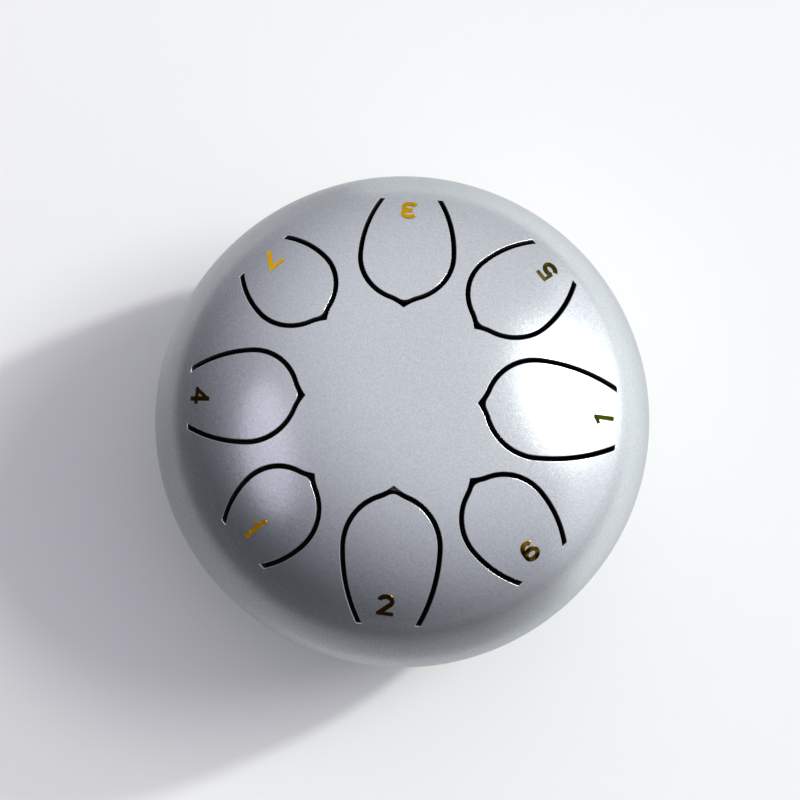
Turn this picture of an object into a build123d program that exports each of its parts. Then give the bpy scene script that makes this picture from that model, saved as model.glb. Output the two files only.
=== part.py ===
"""Steel tongue drum, a small eight-note one, 150 mm across.

Two pressed steel shells are lapped and welded at the rim. Eight petal tongues are slit out of the
upper shell, each joined to it only along its root, and each carries a foil numeral on top and a
tuning magnet underneath. The lower shell has a flat base with a sound hole and four rubber feet.

Frame: millimetres, +Z up, origin on the drum's axis at the table, the lowest tongue along +X.
"""

import os
from math import asin, atan, cos, degrees, radians, sin, sqrt, tan

from build123d import *

os.makedirs("parts", exist_ok=True)

# Shells
DRUM_RADIUS = 75.0
WALL = 1.5
CROWN_RADIUS = 118.0
KNUCKLE_RADIUS = 23.0
UPPER_BAND = 4.0
LOWER_BAND = 2.0
BASE_RADIUS = 46.0
BASE_BEND = 8.0
SOUND_HOLE_RADIUS = 18.0
SOUND_HOLE_ROUND = 0.5

# Lap and weld at the rim
LAP_CLEARANCE = 0.1
WELD_ROOT = 0.3
JOGGLE_ANGLE = 45.0

# Tongues
LOW_LENGTH = 40.9
LOW_HALF_WIDTH = 15.0
HIGH_HALF_WIDTH = 13.3
ROOT_CIRCLE = 63.6
ROOT_HALF_WIDTH = 9.4
SHOULDER_EASE = 0.8
SHOULDER_TURN = 70.0
CUSP_HALF_ANGLE = 50.0
KERF = 1.4
TIP_ROUND = 3.0
ROOT_CLEARANCE = 0.04
SEMITONES_PER_OCTAVE = 12

# Foil numerals
FOIL = 0.12
FOIL_GLUE = 0.02
NUMERAL_HEIGHT = 5.9
NUMERAL_WIDTH = 5.0
STROKE = 1.3
THIN_STROKE = 1.0
BOWL_HALF_HEIGHT = 1.3
HOOK_FOOT = -35.0
HOOK_TIP = 170.0
ARM_TIP = 155.0
BELLY_TOP = 150.0
CURL_TIP = 40.0
CURL_DROP = 2.1
DOT_RADIUS = 0.8
DOT_GAP = 0.15

# Tuning magnets
MAGNET_RADIUS = 4.0
MAGNET_THICKNESS = 2.0
MAGNET_SETBACK = 11.0
MAGNET_GLUE = 0.02

# Feet and their fasteners
FEET = 4
FOOT_CIRCLE = 35.0
FOOT_HEIGHT = 6.0
FOOT_TOP_RADIUS = 8.0
FOOT_TAPER = 6.0
FOOT_ROUND = 1.0
FOOT_WEB = 2.0
SCREW_RADIUS = 1.5
SCREW_LENGTH = 8.0
SCREW_HEAD_RADIUS = 2.8
SCREW_HEAD_HEIGHT = 2.0
DRIVE_WIDTH = 0.6
DRIVE_SPAN = 3.2
DRIVE_DEPTH = 1.1
WASHER_RADIUS = 3.5
WASHER_THICKNESS = 0.5
NUT_ACROSS_FLATS = 5.5
NUT_HEIGHT = 2.4
SCREW_CLEARANCE = 0.15
WASHER_CLEARANCE = 0.2

# Each tongue: node number, numeral, bearing from +X in degrees, semitones above the lowest note,
# inset of its root from the root circle, and how its numeral was laid: back from the root, aside,
# and turned clockwise by some degrees
TONGUES = [
    (1, "1", 0, 0, 0.0, 3.7, -0.3, 0),
    (2, "2", 270, 2, 0.0, 5.4, -1.0, 4),
    (3, "3", 90, 4, 0.1, 4.2, 0.2, 3),
    (4, "4", 180, 5, 1.3, 3.5, -0.4, 3),
    (5, "5", 46.7, 7, 0.0, 4.0, -1.0, 6),
    (6, "6", 315, 9, 1.5, 5.2, -0.5, 2),
    (7, "7", 134.5, 11, 2.2, 3.0, -0.9, 2.5),
    (8, "1", 224.3, 12, 2.6, 5.0, -0.5, 7),
]

# The crown and the knuckle meet where their centres and the tangent point lie in line
knuckle_reach = DRUM_RADIUS - KNUCKLE_RADIUS
centre_distance = CROWN_RADIUS - KNUCKLE_RADIUS
centre_drop = sqrt(centre_distance**2 - knuckle_reach**2)
crown_edge_angle = degrees(asin(knuckle_reach / centre_distance))

# Heights, from the table up
base_z = FOOT_HEIGHT
lower_crown_z = base_z + sqrt(CROWN_RADIUS**2 - BASE_RADIUS**2)
lower_knuckle_z = lower_crown_z - centre_drop
joggle_z = lower_knuckle_z + LOWER_BAND
lap_step = WALL + LAP_CLEARANCE
joggle_rise = 1 / tan(radians(JOGGLE_ANGLE))
rim_z = joggle_z + WALL * joggle_rise + WELD_ROOT
upper_knuckle_z = rim_z + UPPER_BAND
upper_crown_z = upper_knuckle_z - centre_drop
pole_z = upper_crown_z + CROWN_RADIUS
cut_depth = pole_z - rim_z


# The space inside the upper shell's outer face, in half section, drawn in by an inset
def dome_outline(inset):
    with BuildLine() as outline:
        knuckle = CenterArc(
            (knuckle_reach, upper_knuckle_z), KNUCKLE_RADIUS - inset, 0, 90 - crown_edge_angle
        )
        crown = CenterArc(
            (0, upper_crown_z), CROWN_RADIUS - inset, 90 - crown_edge_angle, crown_edge_angle
        )
        Polyline(crown @ 1, (0, rim_z), (DRUM_RADIUS - inset, rim_z), knuckle @ 0)
    return outline.edges()


# The dome as it is pressed, before the slits are cut
with BuildPart() as dome:
    with BuildSketch(Plane.XZ):
        make_face(dome_outline(0))
        make_face(dome_outline(WALL), mode=Mode.SUBTRACT)
    revolve(axis=Axis.Z)

# A sheet of foil laid over the whole dome, which the numerals are cut from
with BuildPart() as foil_sheet:
    with BuildSketch(Plane.XZ):
        make_face(dome_outline(-FOIL_GLUE - FOIL))
        make_face(dome_outline(-FOIL_GLUE), mode=Mode.SUBTRACT)
    revolve(axis=Axis.Z)


# A tongue's pitch goes with the inverse square of its length, so an octave up shortens it by root two
def tongue_sizes(semitones, inset):
    octaves = semitones / SEMITONES_PER_OCTAVE
    root = ROOT_CIRCLE - inset
    tip = root - LOW_LENGTH * 2 ** (-octaves / 2)
    half_width = LOW_HALF_WIDTH + (HIGH_HALF_WIDTH - LOW_HALF_WIDTH) * octaves
    return root, tip, half_width


# The outer edge of a slit in plan, or a line drawn in from it by an inset, with the drum's axis at
# the origin and the root out along +X: a cusp towards the pole, an ogee into a round shoulder, and
# sides that draw in to the root and run on past it. Every arc keeps its centre, whatever the inset
def petal(root, tip, half_width, inset):
    shoulder_radius = half_width + SHOULDER_EASE
    shoulder_turn = radians(SHOULDER_TURN)
    ogee_width = half_width - shoulder_radius * (1 - cos(shoulder_turn))
    ogee_slope = radians(SHOULDER_TURN + CUSP_HALF_ANGLE) / 2
    ogee_radius = ogee_width / sin(ogee_slope) / 2 / sin(shoulder_turn - ogee_slope)
    widest = tip + ogee_width / tan(ogee_slope) + shoulder_radius * sin(shoulder_turn)
    side_turn = 2 * atan((half_width - ROOT_HALF_WIDTH) / (root - widest))
    side_radius = (root - widest) / sin(side_turn)
    side_centre = Vector(widest, half_width - side_radius)
    shoulder_centre = Vector(widest, half_width - shoulder_radius)
    to_ogee = Vector(-sin(shoulder_turn), cos(shoulder_turn))
    ogee_centre = shoulder_centre + to_ogee * (shoulder_radius + ogee_radius)
    cusp_angle = degrees(asin(ogee_centre.Y / (ogee_radius + inset)))
    ogee_turn = 90 - SHOULDER_TURN - cusp_angle
    with BuildSketch() as face:
        with BuildLine():
            side = CenterArc(side_centre, side_radius - inset, 90, -degrees(side_turn))
            tail = Line(side @ 1, side @ 1 + (side % 1) * KERF)
            CenterArc(shoulder_centre, shoulder_radius - inset, 90, SHOULDER_TURN)
            CenterArc(ogee_centre, ogee_radius + inset, SHOULDER_TURN - 90, ogee_turn)
            mirror(about=Plane.XZ)
            tail_end = tail @ 1
            Line(tail_end, (tail_end.X, -tail_end.Y))
        make_face()
    return face.sketch


# What the slit leaves open in the upper shell: the petal, cut square at the root
def window(root, tip, half_width):
    with BuildSketch() as face:
        add(petal(root, tip, half_width, 0))
        with Locations((root / 2, 0)):
            Rectangle(root, 2 * DRUM_RADIUS, mode=Mode.INTERSECT)
    return face.sketch


# The tongue inside the slit, a kerf smaller, with a rounded tip
def blade(root, tip, half_width):
    with BuildSketch() as face:
        add(petal(root, tip, half_width, KERF))
        fillet(face.vertices().sort_by(Axis.X)[0], TIP_ROUND)
        inner_root = root - ROOT_CLEARANCE
        with Locations((inner_root / 2, 0)):
            Rectangle(inner_root, 2 * DRUM_RADIUS, mode=Mode.INTERSECT)
    return face.sketch


# Part of an upright ellipse, anticlockwise from one angle to another
def oval_arc(centre, half_width, half_height, start, end):
    return EllipticalCenterArc(centre, half_width, half_height, start, arc_size=end - start)


# A bold numeral, centred, reading along +X: stems and bowls drawn with a wide pen, bars with a narrow one
def numeral(figure):
    right = (NUMERAL_WIDTH - STROKE) / 2
    top = (NUMERAL_HEIGHT - STROKE) / 2
    bar_top = (NUMERAL_HEIGHT - THIN_STROKE) / 2
    side_edge = NUMERAL_WIDTH / 2
    top_edge = NUMERAL_HEIGHT / 2
    bowl_top = top - BOWL_HALF_HEIGHT
    with BuildSketch() as face:
        if figure == "1":
            with BuildLine():
                Line((0, -top_edge), (0, top_edge))
            trace(line_width=STROKE)
            with BuildLine():
                Line((-right, bar_top - THIN_STROKE), (0, bar_top))
            trace(line_width=THIN_STROKE)
        elif figure == "2":
            with BuildLine():
                hook = oval_arc((0, bowl_top), right, BOWL_HALF_HEIGHT, HOOK_FOOT, HOOK_TIP)
                Line(hook @ 0, (-right, -bar_top))
            trace(line_width=STROKE)
            with BuildLine():
                Line((-side_edge, -bar_top), (side_edge, -bar_top))
            trace(line_width=THIN_STROKE)
        elif figure == "3":
            half = top / 2
            with BuildLine():
                Line((-right / 2, 0), (0, 0))
                oval_arc((0, half), right, half, -90, ARM_TIP)
            trace(line_width=STROKE)
            with BuildLine():
                oval_arc((0, -half), right, half, -ARM_TIP, 90)
            trace(line_width=STROKE)
        elif figure == "4":
            stem = right / 2
            bar = -top / 2
            with BuildLine():
                Line((stem, -top_edge), (stem, top_edge))
            trace(line_width=STROKE)
            with BuildLine():
                Line((-side_edge, bar), (side_edge, bar))
            trace(line_width=THIN_STROKE)
            with BuildLine():
                Line((stem, bar_top), (-right, bar))
            trace(line_width=THIN_STROKE)
        elif figure == "5":
            with BuildLine():
                belly = oval_arc((0, -bowl_top), right, BOWL_HALF_HEIGHT, -ARM_TIP, BELLY_TOP)
            trace(line_width=STROKE)
            stem = (belly @ 1).X
            with BuildLine():
                Line(belly @ 1, (stem, top_edge))
            trace(line_width=THIN_STROKE)
            with BuildLine():
                Line((stem, bar_top), (right, bar_top))
            trace(line_width=THIN_STROKE)
        elif figure == "6":
            with Locations((0, -bowl_top)):
                Ellipse(side_edge, BOWL_HALF_HEIGHT + STROKE / 2)
                Ellipse(side_edge - STROKE, BOWL_HALF_HEIGHT - STROKE / 2, mode=Mode.SUBTRACT)
            with BuildLine():
                curl = oval_arc((0, top - CURL_DROP), right, CURL_DROP, CURL_TIP, 180)
                Line(curl @ 1, (-right, -bowl_top))
            trace(line_width=STROKE)
        elif figure == "7":
            with BuildLine():
                Line((-side_edge, bar_top), (side_edge, bar_top))
            trace(line_width=THIN_STROKE)
            with BuildLine():
                Line((right, bar_top), (-right / 2, -top_edge))
            trace(line_width=STROKE)
    return face.sketch


# A plane above the drum, seen from above, with its X axis out along a bearing
def plane_above(bearing, turn=0, reach=0, aside=0):
    out = Vector(cos(radians(bearing)), sin(radians(bearing)), 0)
    across = out.rotate(Axis.Z, 90)
    centre = out * reach + across * aside + Vector(0, 0, pole_z + WALL)
    return Plane(origin=centre, x_dir=out.rotate(Axis.Z, turn), z_dir=(0, 0, 1))


# Upper shell: the dome with its eight windows
with BuildPart() as upper_shell:
    add(dome.part)
    for _, _, bearing, semitones, inset, *_ in TONGUES:
        with BuildSketch(plane_above(bearing)):
            add(window(*tongue_sizes(semitones, inset)))
        extrude(amount=-cut_depth, mode=Mode.SUBTRACT)
upper_shell.part.label = "upper_shell"
export_step(upper_shell.part, "parts/upper_shell.step")

# Lower shell: the same press shape upside down, flattened at the base, with a joggled rim that
# laps inside the upper shell
with BuildPart() as lower_shell:
    with BuildSketch(Plane.XZ):
        for inset, mode in ((0, Mode.ADD), (WALL, Mode.SUBTRACT)):
            mitre = inset * tan(radians(JOGGLE_ANGLE) / 2)
            ramp_top = joggle_z + lap_step * joggle_rise
            base_edge = sqrt((CROWN_RADIUS - inset) ** 2 - (lower_crown_z - base_z - inset) ** 2)
            base_angle = degrees(asin(base_edge / (CROWN_RADIUS - inset)))
            with BuildLine() as outline:
                crown = CenterArc(
                    (0, lower_crown_z),
                    CROWN_RADIUS - inset,
                    base_angle - 90,
                    crown_edge_angle - base_angle,
                )
                knuckle = CenterArc(
                    (knuckle_reach, lower_knuckle_z),
                    KNUCKLE_RADIUS - inset,
                    crown_edge_angle - 90,
                    90 - crown_edge_angle,
                )
                Polyline(
                    knuckle @ 1,
                    (DRUM_RADIUS - inset, joggle_z - mitre),
                    (DRUM_RADIUS - inset - lap_step, ramp_top - mitre),
                    (DRUM_RADIUS - inset - lap_step, upper_knuckle_z),
                    (0, upper_knuckle_z),
                    (0, base_z + inset),
                    crown @ 0,
                )
                base_corner = outline.vertices().sort_by_distance((base_edge, base_z + inset))[0]
                fillet(base_corner, BASE_BEND + WALL - inset)
            make_face(mode=mode)
    revolve(axis=Axis.Z)
    with BuildSketch(Plane.XY.offset(base_z)):
        Circle(SOUND_HOLE_RADIUS)
    extrude(amount=WALL, mode=Mode.SUBTRACT)
    fillet(lower_shell.edges(Select.LAST).filter_by(GeomType.CIRCLE), SOUND_HOLE_ROUND)
    with BuildSketch(Plane.XY.offset(base_z)):
        with PolarLocations(FOOT_CIRCLE, FEET, start_angle=360 / FEET / 2):
            Circle(SCREW_RADIUS + SCREW_CLEARANCE)
    extrude(amount=WALL, mode=Mode.SUBTRACT)
lower_shell.part.label = "lower_shell"
export_step(lower_shell.part, "parts/lower_shell.step")

# Weld bead that fills the groove under the upper shell's edge, ground flush
with BuildPart() as seam_weld:
    with BuildSketch(Plane.XZ):
        with BuildLine():
            Polyline(
                (DRUM_RADIUS, joggle_z),
                (DRUM_RADIUS, rim_z),
                (DRUM_RADIUS - WALL, rim_z),
                (DRUM_RADIUS - WALL, joggle_z + WALL * joggle_rise),
                close=True,
            )
        make_face()
    revolve(axis=Axis.Z)
seam_weld.part.label = "seam_weld"
export_step(seam_weld.part, "parts/seam_weld.step")

for number, figure, bearing, semitones, inset, setback, aside, turned in TONGUES:
    root, tip, half_width = tongue_sizes(semitones, inset)

    # Tongue, cut from the same sheet as the upper shell
    with BuildPart() as tongue:
        add(dome.part)
        with BuildSketch(plane_above(bearing)):
            add(blade(root, tip, half_width))
        extrude(amount=-cut_depth, mode=Mode.INTERSECT)
    tongue.part.label = f"tongue_{number}"
    export_step(tongue.part, f"parts/tongue_{number}.step")

    # Foil numeral with its top towards the pole, and a dot over it on the high note
    with BuildPart() as numeral_foil:
        add(foil_sheet.part)
        with BuildSketch(plane_above(bearing, 90 - turned, root - setback, aside)):
            add(numeral(figure))
            if semitones == SEMITONES_PER_OCTAVE:
                with Locations((0, NUMERAL_HEIGHT / 2 + DOT_GAP + DOT_RADIUS)):
                    Circle(DOT_RADIUS)
        extrude(amount=-cut_depth, mode=Mode.INTERSECT)
    numeral_foil.part.label = f"numeral_{number}"
    export_step(numeral_foil.part, f"parts/numeral_{number}.step")

    # Tuning magnet, a flat disc whose rim is glued to the hollow underside near the tip
    lean = asin((tip + MAGNET_SETBACK) / (CROWN_RADIUS - WALL))
    down = Vector(-sin(lean), 0, -cos(lean)).rotate(Axis.Z, bearing)
    seat = sqrt((CROWN_RADIUS - WALL - MAGNET_GLUE) ** 2 - MAGNET_RADIUS**2)
    with BuildPart() as magnet:
        with BuildSketch(Plane(origin=Vector(0, 0, upper_crown_z) - down * seat, z_dir=down)):
            Circle(MAGNET_RADIUS)
        extrude(amount=MAGNET_THICKNESS)
    magnet.part.label = f"magnet_{number}"
    export_step(magnet.part, f"parts/magnet_{number}.step")

# Rubber feet, hollow underneath for the screw head and its washer
web_z = FOOT_HEIGHT - FOOT_WEB
foot_angles = [360 / FEET * (step + 1 / 2) for step in range(FEET)]
foot_places = [Vector(FOOT_CIRCLE, 0, 0).rotate(Axis.Z, angle) for angle in foot_angles]
for number, place in enumerate(foot_places, start=1):
    with BuildPart() as foot:
        with BuildSketch(Plane(origin=place + Vector(0, 0, FOOT_HEIGHT))):
            Circle(FOOT_TOP_RADIUS)
        extrude(amount=-FOOT_HEIGHT, taper=FOOT_TAPER)
        fillet(foot.edges().group_by(Axis.Z)[0], FOOT_ROUND)
        with BuildSketch(Plane(origin=place)):
            Circle(WASHER_RADIUS + WASHER_CLEARANCE)
        extrude(amount=web_z, mode=Mode.SUBTRACT)
        with BuildSketch(Plane(origin=place)):
            Circle(SCREW_RADIUS + SCREW_CLEARANCE)
        extrude(amount=FOOT_HEIGHT, mode=Mode.SUBTRACT)
    foot.part.label = f"rubber_foot_{number}"
    export_step(foot.part, f"parts/rubber_foot_{number}.step")

# Washers up against the web of each foot
washer_z = web_z - WASHER_THICKNESS
with BuildPart() as foot_washers:
    with BuildSketch(Plane.XY.offset(washer_z)):
        with Locations(*foot_places):
            Circle(WASHER_RADIUS)
            Circle(SCREW_RADIUS + SCREW_CLEARANCE, mode=Mode.SUBTRACT)
    extrude(amount=WASHER_THICKNESS)
foot_washers.part.label = "foot_washers"
export_step(foot_washers.part, "parts/foot_washers.step")

# Pan-head screws up through washer, foot and base, with a cross recess
with BuildPart() as foot_screws:
    with BuildSketch(Plane.XY.offset(washer_z)):
        with Locations(*foot_places):
            Circle(SCREW_HEAD_RADIUS)
    extrude(amount=-SCREW_HEAD_HEIGHT)
    fillet(foot_screws.edges().group_by(Axis.Z)[0], SCREW_HEAD_HEIGHT / 2)
    with BuildSketch(Plane.XY.offset(washer_z)):
        with Locations(*foot_places):
            Circle(SCREW_RADIUS)
    extrude(amount=SCREW_LENGTH)
    with BuildSketch(Plane.XY.offset(washer_z - SCREW_HEAD_HEIGHT)):
        with Locations(*foot_places):
            Rectangle(DRIVE_SPAN, DRIVE_WIDTH)
            Rectangle(DRIVE_WIDTH, DRIVE_SPAN)
    extrude(amount=DRIVE_DEPTH, mode=Mode.SUBTRACT)
foot_screws.part.label = "foot_screws"
export_step(foot_screws.part, "parts/foot_screws.step")

# Nuts on the inner face of the base
with BuildPart() as foot_nuts:
    with BuildSketch(Plane.XY.offset(base_z + WALL)):
        with Locations(*foot_places):
            RegularPolygon(NUT_ACROSS_FLATS / 2, 6, major_radius=False)
            Circle(SCREW_RADIUS + SCREW_CLEARANCE / 2, mode=Mode.SUBTRACT)
    extrude(amount=NUT_HEIGHT)
foot_nuts.part.label = "foot_nuts"
export_step(foot_nuts.part, "parts/foot_nuts.step")
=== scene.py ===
"""Steel tongue drum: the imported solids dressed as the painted, slit and numbered drum."""

from math import asin, atan, atan2, ceil, cos, pi, radians, sin, sqrt, tan

import bmesh
import bpy
from mathutils import Matrix, Vector
from mathutils.geometry import delaunay_2d_cdt
from mathutils.kdtree import KDTree
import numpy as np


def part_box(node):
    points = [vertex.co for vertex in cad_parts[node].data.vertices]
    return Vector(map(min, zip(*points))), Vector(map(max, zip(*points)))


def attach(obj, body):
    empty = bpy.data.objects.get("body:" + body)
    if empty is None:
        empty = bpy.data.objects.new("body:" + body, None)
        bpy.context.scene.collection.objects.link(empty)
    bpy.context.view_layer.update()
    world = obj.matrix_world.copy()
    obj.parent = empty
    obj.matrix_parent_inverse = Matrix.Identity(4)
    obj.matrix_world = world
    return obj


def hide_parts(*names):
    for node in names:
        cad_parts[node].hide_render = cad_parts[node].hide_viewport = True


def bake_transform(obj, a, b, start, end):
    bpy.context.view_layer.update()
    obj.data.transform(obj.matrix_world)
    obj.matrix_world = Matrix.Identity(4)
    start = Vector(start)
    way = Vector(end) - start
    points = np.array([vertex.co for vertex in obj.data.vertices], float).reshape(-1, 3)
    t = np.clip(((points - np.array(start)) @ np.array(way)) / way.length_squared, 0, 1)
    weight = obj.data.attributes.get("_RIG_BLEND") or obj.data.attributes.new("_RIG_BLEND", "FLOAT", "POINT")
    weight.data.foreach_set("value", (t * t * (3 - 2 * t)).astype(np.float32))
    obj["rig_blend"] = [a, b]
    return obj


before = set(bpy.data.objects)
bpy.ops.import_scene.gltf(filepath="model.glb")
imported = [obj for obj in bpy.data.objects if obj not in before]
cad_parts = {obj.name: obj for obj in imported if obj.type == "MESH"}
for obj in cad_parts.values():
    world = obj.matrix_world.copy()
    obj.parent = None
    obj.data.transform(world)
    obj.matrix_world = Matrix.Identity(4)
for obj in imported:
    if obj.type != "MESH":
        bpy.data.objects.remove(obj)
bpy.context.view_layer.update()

# Lower shell: a shallow bowl pressed from steel sheet, with a flat base, a round sound hole and a rim
# joggled inwards to lap inside the upper shell. Sprayed metallic silver outside, with a near-black primer
# inside and on its cut edges. This primer is partly real and partly painted shade.
sheet_thickness = 0.0015
drum_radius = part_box("upper_shell")[1].x
pole_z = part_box("upper_shell")[1].z
base_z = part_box("lower_shell")[0].z
spigot_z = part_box("lower_shell")[1].z
crown_radius = 0.118
knuckle_radius = 0.023
base_radius = 0.046
base_bend_inside = 0.008
base_bend = base_bend_inside + sheet_thickness
sound_hole_radius = 0.018
sound_hole_round = 0.0005
lower_band = 0.002
lap_step = 0.0016
ring_steps = 256
crown_step = 0.002
knuckle_step = 0.0012
bend_step = 0.0008
join_gap = 0.00001
crease_angle = radians(30)
upright = (0, 0, 1)
outwards_and_up = (0, -1, 0)
knuckle_reach = drum_radius - knuckle_radius
centre_drop = sqrt((crown_radius - knuckle_radius) ** 2 - knuckle_reach**2)
crown_edge = asin(knuckle_reach / (crown_radius - knuckle_radius))
lower_crown_z = base_z + sqrt(crown_radius**2 - base_radius**2)
lower_knuckle_z = lower_crown_z - centre_drop
bend_reach = sqrt((crown_radius - base_bend) ** 2 - (lower_crown_z - base_z - base_bend) ** 2)
bend_angle = asin(bend_reach / (crown_radius - base_bend))


class Wire:
    """A value that runs through a material's nodes. Arithmetic on it adds Math nodes."""

    def __init__(self, tree, socket=None):
        self.tree = tree
        self.socket = socket

    def node(self, kind, settings, inputs, output=0):
        """Adds a node: its settings first, then the values or wires of its sockets."""
        made = self.tree.nodes.new("ShaderNode" + kind)
        for name, value in settings.items():
            setattr(made, name, value)
        for name, value in inputs.items():
            if isinstance(value, Wire):
                self.tree.links.new(value.socket, made.inputs[name])
            else:
                made.inputs[name].default_value = value
        return Wire(self.tree, made.outputs[output] if made.outputs else None)

    def maths(self, operation, first, second):
        return self.node("Math", {"operation": operation}, {0: first, 1: second})

    def __add__(self, other):
        return self.maths("ADD", self, other)

    def __radd__(self, other):
        return self.maths("ADD", other, self)

    def __sub__(self, other):
        return self.maths("SUBTRACT", self, other)

    def __rsub__(self, other):
        return self.maths("SUBTRACT", other, self)

    def __mul__(self, other):
        return self.maths("MULTIPLY", self, other)

    def __rmul__(self, other):
        return self.maths("MULTIPLY", other, self)


def new_finish(name):
    """An empty material, and the wire that says where on its piece a point lies."""
    material = bpy.data.materials.new(name)
    material.use_nodes = True
    material.node_tree.nodes.clear()
    return material, Wire(material.node_tree).node("TexCoord", {}, {}, "Object")


def noise(place, scale, detail):
    """Soft blotches from 0 to 1, about as many to the metre as the scale says."""
    return place.node("TexNoise", {}, {"Vector": place, "Scale": scale, "Detail": detail})


def along(place, direction):
    """How far a place lies along a direction."""
    return place.node("VectorMath", {"operation": "DOT_PRODUCT"}, {0: place, 1: direction}, "Value")


def eased(value, start, end, low=0.0, high=1.0):
    """Goes smoothly from low to high as a value goes from start to end."""
    limits = {"From Min": start, "From Max": end, "To Min": low, "To Max": high}
    return value.node("MapRange", {"interpolation_type": "SMOOTHSTEP"}, {"Value": value, **limits})


# The Mix node's sockets for two colours and for what comes of them
mix_first = 6
mix_second = 7
mix_result = 2


def blended(share, first, second):
    """The first colour where a share is 0, the second where it is 1."""
    colours = {mix_first: (*first, 1), mix_second: (*second, 1)}
    return share.node("Mix", {"data_type": "RGBA"}, {"Factor": share, **colours}, mix_result)


def relief(height):
    """The tilt that a height in metres gives a surface."""
    return height.node("Bump", {}, {"Strength": 1.0, "Distance": 1.0, "Height": height})


def end_finish(place, inputs):
    """Ends a material with its surface."""
    shader = place.node("BsdfPrincipled", {}, inputs)
    place.node("OutputMaterial", {}, {"Surface": shader})


def heading(bearing):
    """The level direction at a bearing in degrees."""
    return Vector((cos(radians(bearing)), sin(radians(bearing)), 0))


# The spray falls on the crown, so the paint dries rougher down the sides, and less so on one side. Down the
# sides its colour is also darkened as painted shade, least on the side towards the lamps.
paint_wet_unshaded_z = 0.067
paint_dry_shaded_z = 0.057
wet_and_lit_side = heading(15)
wet_and_lit_side_start = 0.02
wet_and_lit_side_end = 0.06
wet_and_lit_side_gain = 0.5
wet_roughness = 0.2
dry_roughening = 0.27
painted_rim_shade = 0.18
flake_scale = 3400.0
flake_dark = (0.675, 0.725, 0.735)
flake_light = (0.865, 0.915, 0.925)
flake_relief = 0.000003
orange_peel = 0.00001


def metallic_silver(name, ripple=0.0):
    """Sprayed metallic silver: aluminium flake under a thin lacquer with a little orange peel."""
    material, place = new_finish(name)
    flake = place.node("TexVoronoi", {}, {"Vector": place, "Scale": flake_scale, "Randomness": 1.0}, "Color")
    flake = place.node("SeparateColor", {}, {"Color": flake})
    cloud = noise(place, scale=45.0, detail=3.0)
    peel = noise(place, scale=700.0, detail=1.0)
    up = place.node("SeparateXYZ", {}, {"Vector": place}, "Z")
    down_the_side = eased(up, paint_wet_unshaded_z, paint_dry_shaded_z)
    wet_and_lit = eased(along(place, wet_and_lit_side), wet_and_lit_side_start, wet_and_lit_side_end)
    dry_and_shaded = down_the_side * (1.0 - wet_and_lit_side_gain * wet_and_lit)
    colour = blended(0.8 * flake + 0.2 * cloud, flake_dark, flake_light)
    # Painted shade: the colour darkens down the sides, least on the side towards the lamps
    colour = place.node("VectorMath", {"operation": "SCALE"}, {0: colour, "Scale": 1.0 - painted_rim_shade * dry_and_shaded})
    height = flake_relief * flake + orange_peel * peel
    if ripple:
        squeezed = place.node("Mapping", {}, {"Vector": place, "Scale": (1.0, 1.0, 4.0)})
        height = height + ripple * noise(squeezed, scale=900.0, detail=2.0)
    end_finish(
        place,
        {
            "Base Color": colour,
            "Metallic": 0.92,
            "Roughness": wet_roughness + dry_roughening * dry_and_shaded,
            "Specular Tint": (0.65, 0.65, 0.67, 1),
            "Normal": relief(height),
            "Coat Weight": 0.1,
            "Coat Roughness": 0.1,
        },
    )
    return material


silver_paint = metallic_silver("silver_paint")
# The near-black primer inside the shells and on the slit walls is partly real primer and partly painted shade
# that keeps the slits and the inside dark
undercoat_and_shade, place = new_finish("dark_primer_and_painted_shade")
patches = noise(place, scale=120.0, detail=4.0)
colour = blended(patches, (0.012, 0.012, 0.013), (0.03, 0.03, 0.032))
end_finish(place, {"Base Color": colour, "Roughness": 0.55 + 0.3 * patches})


def line_on(bm, *steps):
    """Carries a drawn line on from its last point by straight steps."""
    for step in steps:
        bm.verts.ensure_lookup_table()
        made = bmesh.ops.extrude_vert_indiv(bm, verts=[bm.verts[-1]])
        bmesh.ops.translate(bm, verts=made["verts"], vec=step)


def arc_on(bm, centre, axis, angle, step):
    """Carries a drawn line on from its last point, round a centre, in steps of about one length."""
    bm.verts.ensure_lookup_table()
    end = bm.verts[-1]
    steps = max(2, ceil(abs(angle) * (end.co - Vector(centre)).length / step))
    bmesh.ops.spin(bm, geom=[end], cent=centre, axis=axis, angle=angle, steps=steps)


def spun(bm):
    """Turns a drawn half section round the drum's axis."""
    drawn = bm.verts[:] + bm.edges[:]
    bmesh.ops.spin(
        bm, geom=drawn, cent=(0, 0, 0), axis=upright, angle=2 * pi, steps=ring_steps, use_merge=True
    )
    bmesh.ops.remove_doubles(bm, verts=bm.verts, dist=join_gap)


def face_outwards(bm):
    """Points the faces of a shell away from the middle of the drum."""
    bmesh.ops.recalc_face_normals(bm, faces=bm.faces)
    middle = Vector((0, 0, (base_z + pole_z) / 2))
    outwards = 0.0
    for face in bm.faces:
        outwards += (face.calc_center_median() - middle).dot(face.normal) * face.calc_area()
    if outwards < 0:
        bmesh.ops.reverse_faces(bm, faces=bm.faces)


def new_object(name, data):
    """An object in the scene, at the origin."""
    made = bpy.data.objects.new(name, data)
    bpy.context.scene.collection.objects.link(made)
    return made


def from_drawing(bm, name):
    """An object made of a drawn shape, which is used up."""
    mesh = bpy.data.meshes.new(name)
    bm.to_mesh(mesh)
    bm.free()
    return new_object(name, mesh)


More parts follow.
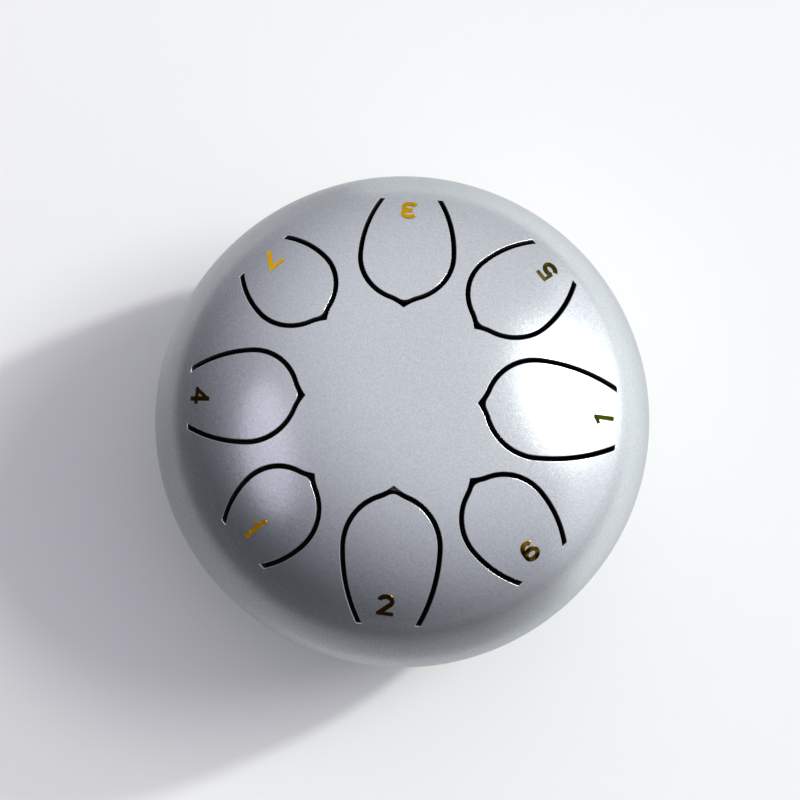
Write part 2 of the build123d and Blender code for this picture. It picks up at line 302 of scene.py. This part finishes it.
def sheet_metal(bm, name, edge_round):
    """A drawn skin made into an object of sheet thickness, painted outside, its marked edges rounded."""
    for edge in bm.edges:
        edge.smooth = edge.is_manifold and edge.calc_face_angle() < crease_angle
    piece = from_drawing(bm, name)
    piece.data.polygons.foreach_set("use_smooth", [True] * len(piece.data.polygons))
    wall = piece.modifiers.new("sheet", "SOLIDIFY")
    wall.thickness = sheet_thickness
    wall.offset = -1
    wall.use_even_offset = True
    # Inside faces and cut walls take the second material: the near-black primer, partly painted shade
    wall.material_offset = 1
    wall.material_offset_rim = 1
    lip = piece.modifiers.new("edges", "BEVEL")
    lip.limit_method = "WEIGHT"
    lip.width = edge_round
    lip.segments = 3
    lip.material = 0
    lip.harden_normals = True
    piece.data.materials.append(silver_paint)
    piece.data.materials.append(undercoat_and_shade)
    return piece


bowl = bmesh.new()
bowl.verts.new((sound_hole_radius, 0, base_z))
line_on(bowl, (bend_reach - sound_hole_radius, 0, 0))
arc_on(bowl, (bend_reach, 0, base_z + base_bend), outwards_and_up, bend_angle, bend_step)
arc_on(bowl, (0, 0, lower_crown_z), outwards_and_up, crown_edge - bend_angle, crown_step)
arc_on(bowl, (knuckle_reach, 0, lower_knuckle_z), outwards_and_up, pi / 2 - crown_edge, knuckle_step)
line_on(bowl, (0, 0, lower_band), (-lap_step, 0, lap_step))
bowl.verts.ensure_lookup_table()
line_on(bowl, (0, 0, spigot_z - bowl.verts[-1].co.z))
spun(bowl)
face_outwards(bowl)
lip_weight = bowl.edges.layers.float.new("bevel_weight_edge")
for edge in bowl.edges:
    if edge.is_boundary and edge.verts[0].co.xy.length < sound_hole_radius + join_gap:
        edge[lip_weight] = 1.0
lower_shell = sheet_metal(bowl, "lower_shell_pressing", sound_hole_round)
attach(lower_shell, "drum")
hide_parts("lower_shell")

# Rubber feet: four moulded black rubber buffers, hollow underneath so that the screw head stays off the
# table. Each is drawn up against the base by its own screw.
foot_count = 4
rubber, place = new_finish("black_rubber")
grain = noise(place, scale=1600.0, detail=2.0)
bloom = noise(place, scale=160.0, detail=4.0)
colour = blended(bloom, (0.016, 0.016, 0.017), (0.038, 0.037, 0.036))
moulding = relief(0.00003 * grain)
end_finish(place, {"Base Color": colour, "Roughness": 0.5 + 0.25 * bloom, "Normal": moulding})


def dress(name, material):
    """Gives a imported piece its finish."""
    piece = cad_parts[name]
    piece.data.materials.clear()
    piece.data.materials.append(material)


for number in range(1, foot_count + 1):
    dress(f"rubber_foot_{number}", rubber)

# Foot screws, washers and nuts: small steel fasteners, the screws driven up through washer, foot and base
# into nuts inside the drum. Their zinc plating is near-black: black zinc, and on the nuts inside the drum
# also painted shade.
dark_plating_and_shade, place = new_finish("zinc_plate")
cloud = noise(place, scale=420.0, detail=4.0)
brushing = noise(place, scale=3000.0, detail=1.0)
colour = blended(cloud, (0.016, 0.016, 0.018), (0.034, 0.034, 0.037))
brushed = relief(0.000004 * brushing)
end_finish(place, {"Base Color": colour, "Metallic": 1.0, "Roughness": 0.22 + 0.2 * cloud, "Normal": brushed})
for name in ("foot_screws", "foot_washers", "foot_nuts"):
    dress(name, dark_plating_and_shade)

# Seam weld: the bead run round the groove between the two shells, ground back flush and painted over with
# the rest, so that only a faint line and a slight ripple are left of it.
weld_ripple = 0.00006
dress("seam_weld", metallic_silver("seam_paint", ripple=weld_ripple))

# Upper shell: the domed half, pressed to a shallow crown with a rolled knuckle and a short straight band,
# then slit right through by eight petals. The paint runs over the softened edges of the slits.
rim_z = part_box("upper_shell")[0].z
crown_z = pole_z - crown_radius
knuckle_z = crown_z + centre_drop
crown_edge_radius = crown_radius * sin(crown_edge)
slit_width = 0.0014
slit_edge_round = 0.0002
tongue_tip_round = 0.003
root_circle = 0.0636
root_half_width = 0.0094
low_length = 0.0409
low_half_width = 0.0150
high_half_width = 0.0133
shoulder_ease = 0.0008
shoulder_turn = radians(70)
cusp_half_angle = radians(50)
semitones_per_octave = 12
plan_radius = 0.0665
plan_step = 0.0007
plan_tolerance = 1e-8
lattice = 0.0014
lattice_clear = 0.6 * lattice
outwards_and_down = (0, 1, 0)

# Each tongue's bearing in degrees, its semitones above the lowest note, and the inset of its root
tongues = {
    1: (0, 0, 0.0),
    2: (270, 2, 0.0),
    3: (90, 4, 0.0001),
    4: (180, 5, 0.0013),
    5: (46.7, 7, 0.0),
    6: (315, 9, 0.0015),
    7: (134.5, 11, 0.0022),
    8: (224.3, 12, 0.0026),
}


def dome_height(reach):
    """Height of the upper shell's outer face at a distance from the drum's axis."""
    if reach < crown_edge_radius:
        return crown_z + sqrt(crown_radius**2 - reach**2)
    return knuckle_z + sqrt(knuckle_radius**2 - (reach - knuckle_reach) ** 2)


def petal_line(root, semitones, inset, tip_round):
    """One half of a slit's edge in plan, from the root to the point, drawn in by an inset.

    Its side, shoulder and ogee are arcs that run into each other. A tip round blunts the point.
    """
    octaves = semitones / semitones_per_octave
    tip = root - low_length * 2 ** (-octaves / 2)
    half_width = low_half_width + (high_half_width - low_half_width) * octaves
    shoulder_radius = half_width + shoulder_ease
    ogee_width = half_width - shoulder_radius * (1 - cos(shoulder_turn))
    ogee_slope = (shoulder_turn + cusp_half_angle) / 2
    ogee_radius = ogee_width / sin(ogee_slope) / 2 / sin(shoulder_turn - ogee_slope)
    widest = tip + ogee_width / tan(ogee_slope) + shoulder_radius * sin(shoulder_turn)
    side_turn = 2 * atan((half_width - root_half_width) / (root - widest))
    side_radius = (root - widest) / sin(side_turn)
    side_centre = Vector((widest, half_width - side_radius, 0))
    shoulder_centre = Vector((widest, half_width - shoulder_radius, 0))
    to_ogee = Vector((-sin(shoulder_turn), cos(shoulder_turn), 0))
    ogee_centre = shoulder_centre + to_ogee * (shoulder_radius + ogee_radius)
    tip_reach = ogee_radius + inset + tip_round
    tip_turn = asin(ogee_centre.y / tip_reach)
    tip_centre = Vector((ogee_centre.x + tip_reach * cos(tip_turn), 0, 0))
    side_end = side_centre + Vector((sin(side_turn), cos(side_turn), 0)) * (side_radius - inset)
    tail = Vector((1, -tan(side_turn), 0)) * (root - side_end.x)
    line = bmesh.new()
    line.verts.new(side_end + tail)
    if inset:
        line_on(line, -tail)
    arc_on(line, side_centre, upright, side_turn, plan_step)
    arc_on(line, shoulder_centre, upright, shoulder_turn, plan_step)
    arc_on(line, ogee_centre, upright, pi / 2 - shoulder_turn - tip_turn, plan_step)
    if tip_round:
        arc_on(line, tip_centre, upright, tip_turn, plan_step)
    half = [vert.co.xy for vert in line.verts]
    line.free()
    return half


plan_points = []


def lay_out(points, bearing=0):
    """Adds points to the plan at a bearing and returns their numbers."""
    first = len(plan_points)
    turn = Matrix.Rotation(radians(bearing), 2)
    plan_points.extend(turn @ point for point in points)
    return list(range(first, len(plan_points)))


def both_halves(half):
    """A half outline carried on across its mirror line."""
    return half + [Vector((point.x, -point.y)) for point in reversed(half[:-1])]


def ring_points(radius):
    """Evenly spaced points in plan on a circle round the drum's axis."""
    turns = [2 * pi * step / ring_steps for step in range(ring_steps)]
    return [Vector((cos(turn), sin(turn))) * radius for turn in turns]


# The plan holds its rim, two rings that follow the line where the crown turns into the knuckle, and then each
# slit's inner and outer edges, which share the tongue's root
plan_rim = lay_out(ring_points(plan_radius))
turn_lines = []
for radius in (crown_edge_radius, (crown_edge_radius + plan_radius) / 2):
    ring = lay_out(ring_points(radius))
    turn_lines.extend(zip(ring, ring[1:] + ring[:1]))
outlines = [plan_rim]
joined = set(plan_rim)
blade_outlines = {}
for number, (bearing, semitones, inset) in tongues.items():
    root = root_circle - inset
    blade_half = petal_line(root, semitones, slit_width, tongue_tip_round)
    blade = lay_out(both_halves(blade_half), bearing)
    window = lay_out(both_halves(petal_line(root, semitones, 0, 0)), bearing)
    end = blade_half[0].y
    root_steps = ceil(2 * end / lattice)
    across = [Vector((root, end * (2 * step / root_steps - 1))) for step in range(1, root_steps)]
    root_line = lay_out(across, bearing)
    outlines.append(window + blade[-1:] + root_line + blade[:1])
    blade_outlines[number] = len(outlines)
    outlines.append(blade + root_line)
    joined.update(root_line + [blade[0], blade[-1]])

# A lattice of points fills the plan between the edges, and the plan is cut into faces inside its outlines
edges_tree = KDTree(len(plan_points))
for number, point in enumerate(plan_points):
    edges_tree.insert((point.x, point.y, 0), number)
edges_tree.balance()
rows = ceil(plan_radius / lattice / sin(pi / 3))
columns = ceil(plan_radius / lattice)
for row in range(-rows, rows + 1):
    for column in range(-columns, columns + 1):
        point = Vector(((column + row % 2 / 2) * lattice, row * lattice * sin(pi / 3)))
        if point.length < plan_radius and edges_tree.find((point.x, point.y, 0))[2] > lattice_clear:
            plan_points.append(point)
inside_only = 1
plan, _, plan_faces, plan_origins, _, face_origins = delaunay_2d_cdt(
    plan_points, turn_lines, outlines, inside_only, plan_tolerance
)


def cut_from_dome(outline):
    """The part of the dome's face that lies innermost in one outline, its cut edges marked for rounding."""
    bm = bmesh.new()
    corners = {}
    for face, origins in zip(plan_faces, face_origins):
        if max(origins) == outline:
            for number in face:
                if number not in corners:
                    point = plan[number]
                    corners[number] = bm.verts.new((point.x, point.y, dome_height(point.length)))
            bm.faces.new([corners[number] for number in face])
    numbers = {vert: set(plan_origins[number]) for number, vert in corners.items()}
    weight = bm.edges.layers.float.new("bevel_weight_edge")
    for edge in bm.edges:
        uncut = all(numbers[vert] & joined for vert in edge.verts)
        if edge.is_boundary and not uncut:
            edge[weight] = 1.0
    return bm


knuckle = bmesh.new()
knuckle.verts.new((plan_radius, 0, dome_height(plan_radius)))
rim_turn = atan2(dome_height(plan_radius) - knuckle_z, plan_radius - knuckle_reach)
arc_on(knuckle, (knuckle_reach, 0, knuckle_z), outwards_and_down, rim_turn, knuckle_step)
line_on(knuckle, (0, 0, rim_z - knuckle_z))
spun(knuckle)
knuckle_mesh = bpy.data.meshes.new("knuckle")
knuckle.to_mesh(knuckle_mesh)
knuckle.free()
dome = cut_from_dome(outlines.index(plan_rim))
dome.from_mesh(knuckle_mesh)
bpy.data.meshes.remove(knuckle_mesh)
bmesh.ops.remove_doubles(dome, verts=dome.verts, dist=join_gap)
face_outwards(dome)
rim_weight = dome.edges.layers.float["bevel_weight_edge"]
for edge in dome.edges:
    if edge.is_boundary and max(vert.co.z for vert in edge.verts) < rim_z + join_gap:
        edge[rim_weight] = 1.0
upper_shell = sheet_metal(dome, "upper_shell_pressing", slit_edge_round)
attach(upper_shell, "drum")
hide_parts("upper_shell")

# Tongues: the eight petals that the slits leave, one sheet with the dome along their roots. A struck tongue
# bends over its first two millimetres and swings from there.
root_bend = 0.002
for number, (bearing, semitones, inset) in tongues.items():
    petal = cut_from_dome(blade_outlines[number])
    tongue = sheet_metal(petal, f"tongue_{number}_petal", slit_edge_round)
    out = heading(bearing)
    root = out * (root_circle - inset) + Vector((0, 0, dome_height(root_circle - inset)))
    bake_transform(tongue, "drum", f"tongue_{number}_blade", start=root, end=root - out * root_bend)
    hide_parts(f"tongue_{number}")

# Tuning magnets: nickel-plated discs that trim each note. Each is glued under its tongue near the tip, and
# shows only from inside the drum.
nickel, place = new_finish("nickel_plate")
haze = noise(place, scale=300.0, detail=5.0)
scuff = noise(place, scale=2500.0, detail=2.0)
colour = blended(haze, (0.58, 0.56, 0.52), (0.75, 0.73, 0.69))
scuffed = relief(0.000003 * scuff)
end_finish(place, {"Base Color": colour, "Metallic": 1.0, "Roughness": 0.1 + 0.15 * haze, "Normal": scuffed})
for number in tongues:
    dress(f"magnet_{number}", nickel)

# Numerals: figures cut from mirror foil and rubbed down by hand near the roots of the tongues, so that the
# foil lies a little unevenly and each catches the light its own way. Except on the gold figures, each foil's
# colours are painted reflection, darkened or tinted to what that figure mirrors.
gold = (0.97, 0.52, 0.004), (1.0, 0.6, 0.012)
dark_gold_painted_reflection = (0.46, 0.25, 0.003), (0.56, 0.33, 0.008)
olive_painted_reflection = (0.06, 0.075, 0.002), (0.1, 0.13, 0.004)
khaki_painted_reflection = (0.068, 0.062, 0.002), (0.24, 0.22, 0.03)
bronze_painted_reflection = (0.3, 0.17, 0.004), (0.4, 0.24, 0.01)
glinting_painted_reflection = (0.03, 0.015, 0.002), (0.75, 0.45, 0.02)
foil_buckle = 0.00012

# Each foil's dull and bright colours (painted reflection on all but the gold figures), the degrees by which
# it leans, and the bearing that it leans towards
foils = {
    1: (olive_painted_reflection, 14, 305),
    2: (bronze_painted_reflection, 10, 250),
    3: (gold, 2, 110),
    4: (bronze_painted_reflection, 8, 205),
    5: (khaki_painted_reflection, 3, 90),
    6: (glinting_painted_reflection, 7, 270),
    7: (gold, 12, 345),
    8: (dark_gold_painted_reflection, 14, 45),
}
for number, ((dull, bright), lean, bearing) in foils.items():
    foil, place = new_finish(f"foil_{number}")
    buckle = noise(place, scale=330.0, detail=2.0)
    rub = noise(place, scale=1500.0, detail=3.0)
    # Painted reflection and glints: the colour goes from dull to bright across the foil's buckles
    colour = blended(eased(buckle, start=0.4, end=0.68), dull, bright)
    lie = relief(foil_buckle * buckle - tan(radians(lean)) * along(place, heading(bearing)))
    end_finish(place, {"Base Color": colour, "Metallic": 1.0, "Roughness": 0.03 + 0.08 * rub, "Normal": lie})
    dress(f"numeral_{number}", foil)

# Floor: a plain, matt, off-white table top that takes the drum's shadow.
floor_half = 3.0
floor_bm = bmesh.new()
bmesh.ops.create_grid(floor_bm, x_segments=1, y_segments=1, size=floor_half)
floor = from_drawing(floor_bm, "floor")
matt_white, place = new_finish("matt_white")
mottle = noise(place, scale=12.0, detail=3.0)
colour = blended(mottle, (0.90, 0.905, 0.905), (0.915, 0.92, 0.92))
end_finish(place, {"Base Color": colour, "Roughness": 0.8})
floor.data.materials.append(matt_white)

# Flag: a grey card curved round the left and near sides of the drum, outside the picture and darkest at the
# near left, as a photographer sets one to keep the white table out of the drum's edge. Only reflections
# see it.
flag_radius = 0.14
flag_height = 0.06
flag_start = 104
flag_turn = radians(214)
flag_steps = 64
flag_darkest = 226
flag_bm = bmesh.new()
flag_bm.verts.new(heading(flag_start) * flag_radius)
line_on(flag_bm, (0, 0, flag_height))
drawn = flag_bm.verts[:] + flag_bm.edges[:]
bmesh.ops.spin(flag_bm, geom=drawn, cent=(0, 0, 0), axis=upright, angle=flag_turn, steps=flag_steps)
flag = from_drawing(flag_bm, "flag")
grey_card, place = new_finish("grey_card")
shade = eased(along(place, heading(flag_darkest) / flag_radius), start=-0.3, end=0.8)
colour = blended(shade, (0.8, 0.78, 0.8), (0.3, 0.29, 0.31))
end_finish(place, {"Base Color": colour, "Roughness": 0.9})
flag.data.materials.append(grey_card)
flag.visible_camera = False
flag.visible_diffuse = False
flag.visible_shadow = False

# Light: a broad lamp with a wide glow round it, up on the right, gives the highlight. A lower lamp, which
# reflections don't see, draws the long shadow, and two faint panels lift the right and the left. The sky is
# bright behind and to the right of the drum and falls away towards the near left.
sky_bright_way = Vector((0.37, 0.50, 0.79)).normalized()
sky_dim = (0.84, 0.82, 1.0)
sky_bright = (0.97, 0.955, 0.99)
world = bpy.data.worlds.new("studio")
bpy.context.scene.world = world
world.use_nodes = True
world.node_tree.nodes.clear()
direction = Wire(world.node_tree).node("TexCoord", {}, {}, "Generated")
level = eased(along(direction, sky_bright_way), start=-0.2, end=0.86, low=0.04, high=0.715)
up = direction.node("SeparateXYZ", {}, {"Vector": direction}, "Z")
horizon = eased(up, start=0.05, end=0.7, low=0.82, high=1.0)
tint = blended(level, sky_dim, sky_bright)
glow = direction.node("Background", {}, {"Color": tint, "Strength": level * horizon})
direction.node("OutputWorld", {}, {"Surface": glow})


def soft_lamp(name, size, colour, power, bearing, lift, distance, mirrored=True):
    """An oval soft lamp, aimed at the drum from a bearing and a lift above the table in degrees."""
    lamp = bpy.data.lights.new(name, "AREA")
    lamp.shape = "ELLIPSE"
    lamp.size = size[0]
    lamp.size_y = size[1]
    lamp.color = colour
    lamp.energy = power
    holder = new_object(name, lamp)
    way = heading(bearing) * cos(radians(lift)) + Vector((0, 0, sin(radians(lift))))
    holder.location = way * distance
    holder.rotation_euler = way.to_track_quat("Z", "Y").to_euler()
    holder.visible_camera = False
    holder.visible_glossy = mirrored


lamp_white = (0.98, 1.0, 0.95)
panel_white = (0.97, 0.97, 1.0)
panel_violet = (0.92, 0.84, 1.0)
soft_lamp("key_lamp", (3.8, 1.4), lamp_white, 245.0, bearing=19, lift=37, distance=8.0)
soft_lamp("key_glow", (6.5, 4.5), lamp_white, 22.0, bearing=19, lift=38, distance=8.0)
soft_lamp("low_lamp", (0.53, 0.53), lamp_white, 380.0, bearing=26, lift=25, distance=8.0, mirrored=False)
soft_lamp("right_panel", (3.8, 1.4), panel_white, 4.6, bearing=6, lift=20, distance=2.0)
soft_lamp("left_panel", (0.62, 0.25), panel_violet, 0.18, bearing=190, lift=48, distance=0.9)

# Camera: nearly overhead, a little to the front and turned slightly about the drum.
view_fov = radians(22)
view_tilt = radians(9.27)
view_bearing = radians(12.55)
view_roll = radians(3.05)
view_target = Vector((-0.00093, 0.00601, 0.040))
view_distance = 0.6298
back = Vector((sin(view_tilt) * sin(view_bearing), -sin(view_tilt) * cos(view_bearing), cos(view_tilt)))
right = Vector((-sin(view_roll), cos(view_roll), 0)).cross(back).normalized()
camera_data = bpy.data.cameras.new("camera")
camera_data.sensor_fit = "HORIZONTAL"
camera_data.angle = view_fov
camera = new_object("camera", camera_data)
camera.matrix_world = Matrix.LocRotScale(
    view_target + back * view_distance,
    Matrix((right, back.cross(right), back)).transposed(),
    None,
)
bpy.context.scene.camera = camera
bpy.context.scene.view_settings.view_transform = "Standard"
